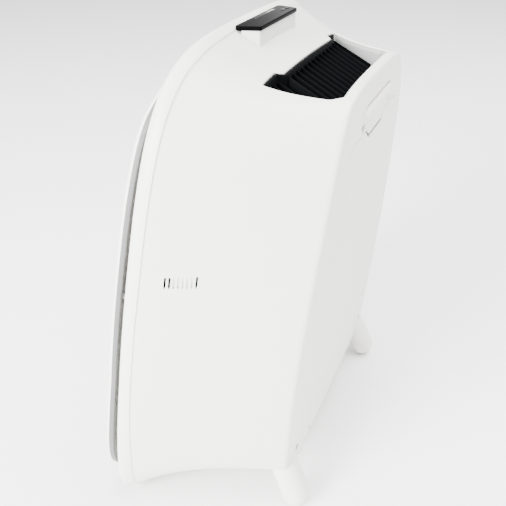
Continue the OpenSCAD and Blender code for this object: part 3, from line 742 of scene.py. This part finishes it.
# ------------------------------------------------------------------ front cover
GAP_Y = -20.5         # the cover's rear edge, which faces the gap
cover_profile = [(200, -35.2), (110, -34.5), (60, -33.7), (30, -33), (12, -31.8), (8, -31.2), (5, -30.4),
                 (2.8, -29.4), (1.4, -28.2), (0.5, -26.9), (0, -25.4), (0, GAP_Y - 0.7), (0.2, GAP_Y - 0.2),
                 (0.7, GAP_Y), (1.6, GAP_Y), (2.1, GAP_Y - 0.2), (2.3, GAP_Y - 0.7), (2.4, -24.5), (5, -27),
                 (12, -28.8), (30, -30.2), (110, -31.7), (200, -32.4)]
rings = [lring(d, y, OC) for d, y in cover_profile]
v = flat(rings) + [lw(0, -35.3, 252), lw(0, -32.5, 252)]
f = ring_faces(len(rings), NR, caps=False)
f += [[j, (j + 1) % NR, len(v) - 2] for j in range(NR)]
last = (len(rings) - 1) * NR
f += [[last + j, last + (j + 1) % NR, len(v) - 1] for j in range(NR)]
cover = make("front_cover_panel", v, f, M["front"], "cover", "front_white", True, 50)
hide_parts("front_cover")
# dark grey band set on the cover's rear rim
band_profile = [(-0.12, -25.0), (-0.12, GAP_Y - 0.4), (0.3, GAP_Y + 0.12), (2.0, GAP_Y + 0.12),
                (2.0, GAP_Y - 0.4), (0.3, -25.0)]
rings = [lring(d, y, OC) for d, y in band_profile]
make("cover_rim_band", flat(rings), ring_faces(len(rings), NR, closed_rows=True), M["band"],
     "cover", "light_grey", True, 40)

# ------------------------------------------------------------------ water tank: face, bucket, ribs
face = shelled("tank_face", rows, 0.0027)
boolean(face, [prism("c_face", resample(grow(tank_outline(0), -0.9), 4), "y", 70, 140)], "INTERSECT")
surface_normals(face, skin, SKIN)
face.data.materials.clear()
face.data.materials.append(M["shell"])
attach(face, "tank")
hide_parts("water_tank")
bead_rear(tank_outline(0), 0.9, "tank_face_edge", M["shell"], "tank", "shell_white", side=-1)


def bucket(name, lo, hi, wall, r, mat, body, slot):
    """Open box with rounded corners, walls and rim, as one closed loft."""
    x0, y0, z0 = lo
    x1, y1, z1 = hi

    def rect(d):
        corners = [(x0 + d, y0 + d), (x1 - d, y0 + d), (x1 - d, y1 - d), (x0 + d, y1 - d)]
        return round_poly(corners, max(0.6, r - d), 5)

    rings = [(rect(r * 0.8), z0), (rect(r * 0.3), z0 + r * 0.15), (rect(0), z0 + r * 0.8), (rect(0), z1 - 0.6),
             (rect(0.4), z1), (rect(wall - 0.4), z1), (rect(wall), z1 - 0.6),
             (rect(wall), z0 + wall + r * 0.6), (rect(wall + r * 0.5), z0 + wall)]
    v = [(p[0], p[1], z) for ring, z in rings for p in ring]
    return make(name, v, ring_faces(len(rings), len(rings[0][0])), mat, body, slot, True, 40)


bucket("tank_bucket", (-86, 24, 58), (86, 81.4, 176), 2.4, 7, M["tank"], "tank", "tank")
for i, x in enumerate((-84, -20, 18, 82)):
    plate = [(80.8, 62), (84.1, 62), (92.1, 170), (80.8, 170)]
    v = [(x + h, p[0], p[1]) for h in (0, 2) for p in plate]
    rib = cutter("rib", v, ring_faces(2, 4))
    bm = bmesh.new()
    bm.from_mesh(rib.data)
    bmesh.ops.bevel(bm, geom=bm.edges[:], offset=0.0003, segments=2, profile=0.5, affect="EDGES")
    me = bpy.data.meshes.new("tank_rib")
    bm.to_mesh(me)
    bm.free()
    bpy.data.objects.remove(rib)
    finish_mesh("tank_rib_%d" % (i + 1), me, M["tank"], "tank")
for x in (-56, -37):
    rounded_box("float_lug_%d" % (1 if x < -50 else 2), (x, 69, 150), (x + 3, 79.2, 163), 0.8,
                M["tank"], "tank")

# ------------------------------------------------------------------ handle pocket and bar
pocket_profile = [(-4.5, 97.8), (2.2, 97.8), (2.55, 98.3), (2.55, 105.0), (2.0, 105.5), (0.9, 105.5), (0.35, 105.0),
                  (0.3, 100.2), (-0.4, 99.3), (-1.6, 98.9), (-4.5, 98.9)]
rings = [[(p[0], y, p[1]) for p in handle_outline(g)] for g, y in pocket_profile]
pocket = make("handle_pocket_tray", flat(rings), ring_faces(len(rings), len(rings[0])), M["shell"],
              "housing", "shell_white", True, 50)
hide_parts("handle_pocket")
HY, HZ = 103.1, 421.0     # the handle's hinge line
side = spline([(52, 103.2, 421), (52, 105.5, 424.5), (49.5, 108.8, 428.4), (42, 110.5, 431)], 5)
side = [tuple(p) for p in side]
srad = [4.1 + 0.9 * j / (len(side) - 1) for j in range(len(side))]
foot = [((52, 101.0, 417.6), 1.4), ((52, 101.3, 418.2), 3.0), ((52, 102.1, 419.4), 3.9)]
half_p = [q[0] for q in foot] + side
half_r = [q[1] for q in foot] + srad
mid = [(x, 110.5, 431) for x in (26, 12, 0, -12, -26)]
bar = half_p + mid + [(-p[0], p[1], p[2]) for p in half_p[::-1]]
rad = half_r + [5.0] * 5 + half_r[::-1]
v, f = sweep(bar, rad, seg=20, closed=False)
handle = make("carry_handle_bar", v, f, M["front"], "handle", "front_white", True, 60)
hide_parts("carry_handle")
for m in (-1, 1):
    v, f = sweep([(x * m, HY, HZ) for x in (52, 56, 59.8, 60.3)], [2.2, 2.2, 2.2, 1.6], seg=20, closed=False)
    make("handle_pin_%s" % ("l" if m < 0 else "r"), v, f, M["front"], "handle", "front_white", True, 40)

# ------------------------------------------------------------------ control pod, slab, display, keys
SZ = 500.0                # top of the slab
pod_poly = round_poly([(-54.6, -12.6), (54.6, -12.6), (48.1, 4.6), (-48.1, 4.6)], 2.0, 5)
pod_profile = [(0.6, 474.0), (0.3, 486), (0, SZ - 4.7), (-0.3, SZ - 4.15), (-3.0, SZ - 4.1)]
rings = [[(p[0], p[1], z) for p in (grow(pod_poly, d) if d else pod_poly)] for d, z in pod_profile]
pod = make("control_pod_box", flat(rings), ring_faces(len(rings), len(pod_poly)), M["shell"],
           "housing", "shell_white", True, 40)
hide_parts("control_pod")
slab_poly = round_poly([(-57.4, -18.5), (57.4, -18.5), (49.4, 6), (-49.4, 6)], [4.2, 4.2, 3.4, 3.4], 7)
slab = plate_from_outline("control_slab_glass", slab_poly, SZ - 4.0, SZ, 0.9, M["gloss"],
                          "housing", "gloss_black", 4)
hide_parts("control_slab")
disp_poly = round_poly([(-32.8, -15.2), (16.8, -15.2), (16.8, -11.4), (-32.8, -11.4)], 0.6, 4)
disp = plate_from_outline("display_strip", disp_poly, SZ - 1.0, SZ + 0.12, 0.1, M["display"],
                          "housing", "gloss_black", 2)
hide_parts("display_window")
for name, x, body in (("power_key_pad", -45, "power_key"), ("mode_key_pad", -34.5, "mode_key")):
    y = -4.1 - (x + 45) * 0.05
    key = plate_from_outline(name, stadium(8.0, 4.4, x, y, 8), SZ - 4.6, SZ + 0.28, 0.35, M["display"],
                             body, "gloss_black", 3)
    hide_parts({"power_key": "key_power", "mode_key": "key_mode"}[body])

# ------------------------------------------------------------------ outlet duct, floor and fins
op = resample(outlet_poly, 2.5)
tops = []
for x, y in grow(op, 0.6):
    p, n = on_top(x, y)
    tops.append(p[2] if p else 455)
# each ring of the throat: how far in, then how far below the surface or at what height
throat_profile = [(-0.6, -2.6, None), (-1.0, -1.6, None), (-1.4, -1.9, None), (-2.0, -6.0, None),
                  (-2.4, None, 436), (-2.6, None, 420.5), (-8, None, 420.0)]
rings = []
for off, dz, zf in throat_profile:
    g = grow(op, off)
    rings.append([(p[0], p[1], (tops[i] + dz) if zf is None else min(zf, tops[i] - 9)) for i, p in enumerate(g)])
duct = make("outlet_throat", flat(rings), ring_faces(len(rings), len(op), caps=False), M["rim"],
            "housing", "light_grey", True, 50)
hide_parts("outlet_duct")
# black sheet of painted shade on the outlet's front wall, up to the tongue's edge
SHADE_SHEET_Y, SHADE_SHEET_X = 41, -94    # it runs along the front edge only, and ends short of the far corner
shade_rows = []
for off, dz in ((-1.0, -3.0), (-1.0, -1.4), (-1.25, -1.1), (-3.0, -1.3), (-3.3, -1.9), (-3.3, None)):
    g = grow(op, off)
    shade_rows.append([(p[0], p[1], tops[i] + dz if dz else 421.0) for i, p in enumerate(g)])
front_i = [i for i, p in enumerate(op) if p[1] < SHADE_SHEET_Y and p[0] > SHADE_SHEET_X]
start = next(i for i in front_i if (i - 1) % len(op) not in front_i)
run = [(start + k) % len(op) for k in range(len(front_i))]
make("outlet_front_painted_shade", [row[i] for i in run for row in shade_rows], ring_faces(len(run), len(shade_rows)), M["fin"],
     "housing", "dark_plastic", True, 40)

FIN_PITCH, FIN_T = 11.4, 1.6


def fin(x, e):
    """Points and faces of the fin at x, which ends at depth e."""
    far = abs(x) > 75     # beside the tongue, where the opening starts further forward
    y0 = 32.0 if far else 38.6
    top = (lambda y: 462.4 - (y - 32) * 0.5) if far else (lambda y: 464.9 - (y - 38) * 0.54)
    v = []
    for j in range(13):
        y = y0 + 0.05 + (e - y0 - 0.1) * j / 12
        z, b0 = top(y), (452.6 if y < y0 + 2.2 else 420.7)
        h = FIN_T / 2 - 0.02
        v += [(x - h, y, b0), (x - h, y, z - 0.8), (x - h + 0.25, y, z - 0.2), (x, y, z),
              (x + h - 0.25, y, z - 0.2), (x + h, y, z - 0.8), (x + h, y, b0)]
    return v, ring_faces(13, 7)


vv, ff = [], []
for i in range(-8, 9):
    x = i * FIN_PITCH
    v, f = fin(x, 78 if abs(x) > 90 else 94.2)
    o = len(vv)
    vv += v
    ff += [[a + o for a in q] for q in f]
fins = make("outlet_fin_set", vv, ff, M["fin"], "housing", "dark_plastic", True, 40)
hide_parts("outlet_fins")
for i, y in enumerate((46, 80)):
    w = 95.9 if y < 60 else 86.3
    rounded_box("fin_tie_%d" % (i + 1), (-w, y, 423), (w, y + 3, 427), 0.5, M["fin"], "housing")
v = [(p[0], p[1], z) for z in (419.0, 420.2) for p in grow(op, -2.4)]
make("throat_floor", v, ring_faces(2, len(op)), M["dark"], "housing", "dark_plastic", True, 40)

# ------------------------------------------------------------------ peg legs, flat where they sit on their pads
LEG_R, LEG_SEG = 16.0, 48
LEG_FLAT_Z = 1.25         # the round end is flat here, on its pad
# the leg's profile: a round end, then the shaft with a small chamfer at its top
round_end = [math.pi / 2 * j / 14 for j in range(1, 15)]
leg_profile = [(-LEG_R * math.cos(q), LEG_R * math.sin(q)) for q in round_end]
leg_profile += [(20, LEG_R), (45, LEG_R), (72.8, LEG_R), (73.6, LEG_R - 0.3), (74, LEG_R - 1.1)]
for m, nm in ((-1, "leg_left"), (1, "leg_right")):
    p, d = leg_axis(m)
    u = d.orthogonal().normalized()
    w = d.cross(u)
    v = []
    for h, r in leg_profile:
        for j in range(LEG_SEG):
            q = 2 * math.pi * j / LEG_SEG
            c = p + d * h + (u * math.cos(q) + w * math.sin(q)) * r
            c.z = max(c.z, LEG_FLAT_Z)
            v.append(c)
    leg = make(nm + "_peg", v, ring_faces(len(leg_profile), LEG_SEG), M["front"], "housing", "front_white", True, 50)
    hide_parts(nm)

# ------------------------------------------------------------------ floor, light
bpy.data.objects.remove(skin)


def floor_material():
    """Nearly white floor with a very slight drift."""
    m = bpy.data.materials.new("floor_pale")
    m.use_nodes = True
    b = m.node_tree.nodes["Principled BSDF"]
    n = m.node_tree.nodes.new("ShaderNodeTexNoise")
    n.inputs["Scale"].default_value = 2.0
    r = m.node_tree.nodes.new("ShaderNodeValToRGB")
    r.color_ramp.elements[0].color = (0.97, 0.97, 0.97, 1)
    r.color_ramp.elements[1].color = (0.98, 0.98, 0.98, 1)
    m.node_tree.links.new(n.outputs[0], r.inputs[0])
    m.node_tree.links.new(r.outputs[0], b.inputs["Base Color"])
    b.inputs["Roughness"].default_value = 0.9
    return m


fl = bpy.data.meshes.new("floor")
fl.from_pydata([(-8, -8, 0), (8, -8, 0), (8, 8, 0), (-8, 8, 0)], [], [[0, 1, 2, 3]])
fl.materials.append(floor_material())
floor = new_object("floor", fl)

world = bpy.data.worlds.new("studio")
scene.world = world
world.use_nodes = True
bg = world.node_tree.nodes["Background"]
bg.inputs[0].default_value = (1.0, 1.0, 1.0, 1)
bg.inputs[1].default_value = 1.35


def area(name, loc, target, size, power):
    """Rectangular white lamp aimed at a point."""
    d = bpy.data.lights.new(name, "AREA")
    d.shape = "RECTANGLE"
    d.size, d.size_y = size
    d.energy = power
    o = bpy.data.objects.new(name, d)
    scene.collection.objects.link(o)
    o.location = loc
    o.rotation_euler = (Vector(target) - Vector(loc)).to_track_quat("-Z", "Y").to_euler()


area("key", (2.2, -0.9, 1.3), (0, 0, 0.3), (1.3, 1.3), 300)
area("fill", (0.6, 2.2, 1.2), (0, 0, 0.3), (1.8, 1.4), 2)
area("top", (-0.3, 0.5, 2.6), (0, 0, 0.0), (2.4, 2.4), 210)
